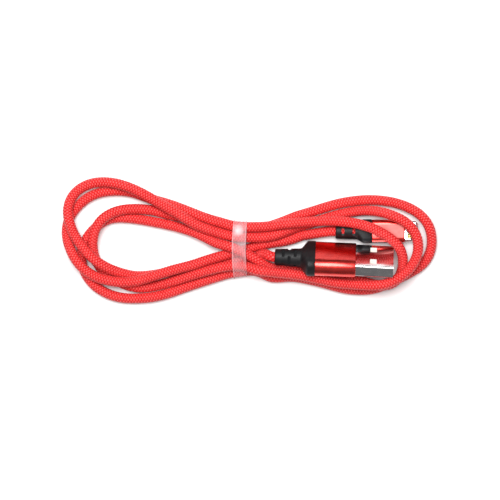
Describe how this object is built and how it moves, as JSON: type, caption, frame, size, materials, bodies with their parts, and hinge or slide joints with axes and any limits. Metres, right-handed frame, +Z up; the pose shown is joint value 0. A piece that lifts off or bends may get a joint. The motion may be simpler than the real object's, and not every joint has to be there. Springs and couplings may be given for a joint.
{
  "type": "charging cable",
  "caption": "Braided red charging cable tied in a hank, with a metal-cased USB-A plug, a slim phone plug, black strain reliefs and a clear tape band.",
  "frame": {"origin": "centre of the hank's footprint, on the surface it lies on", "axes": "+X along the hank from the open left loops to the end with the plugs, +Z up from the surface"},
  "size_m": [0.1246, 0.0417, 0.0136],
  "materials": {
    "braid": "woven",
    "clear_tape": "gloss",
    "rubber": "satin",
    "anodised": "satin",
    "gold": "gloss",
    "steel": "polished",
    "ivory_plastic": "satin",
    "black_plastic": "satin",
    "board": "satin",
    "wire_red": "satin",
    "wire_white": "satin",
    "wire_green": "satin",
    "wire_black": "satin"
  },
  "bodies": {
    "root": {"cord": "braid", "phone_board": "board", "phone_boot": "rubber", "phone_chip": "black_plastic", "phone_contact_1": "gold", "phone_contact_2": "gold", "phone_contact_3": "gold", "phone_contact_4": "gold", "phone_contact_5": "gold", "phone_contact_6": "gold", "phone_contact_7": "gold", "phone_contact_8": "gold", "phone_inner_mould": "ivory_plastic", "phone_sleeve": "anodised", "phone_tip_frame": "steel", "phone_tip_insert": "black_plastic", "phone_wire_data_minus": "wire_white", "phone_wire_data_plus": "wire_green", "phone_wire_ground": "wire_black", "phone_wire_power": "wire_red", "tie_band": "clear_tape", "usb_boot": "rubber", "usb_contact_data_minus": "gold", "usb_contact_data_plus": "gold", "usb_contact_ground": "gold", "usb_contact_power": "gold", "usb_inner_mould": "ivory_plastic", "usb_shell": "steel", "usb_sleeve": "anodised", "usb_tongue": "ivory_plastic", "usb_wire_data_minus": "wire_white", "usb_wire_data_plus": "wire_green", "usb_wire_ground": "wire_black", "usb_wire_power": "wire_red"}
  },
  "joints": []
}
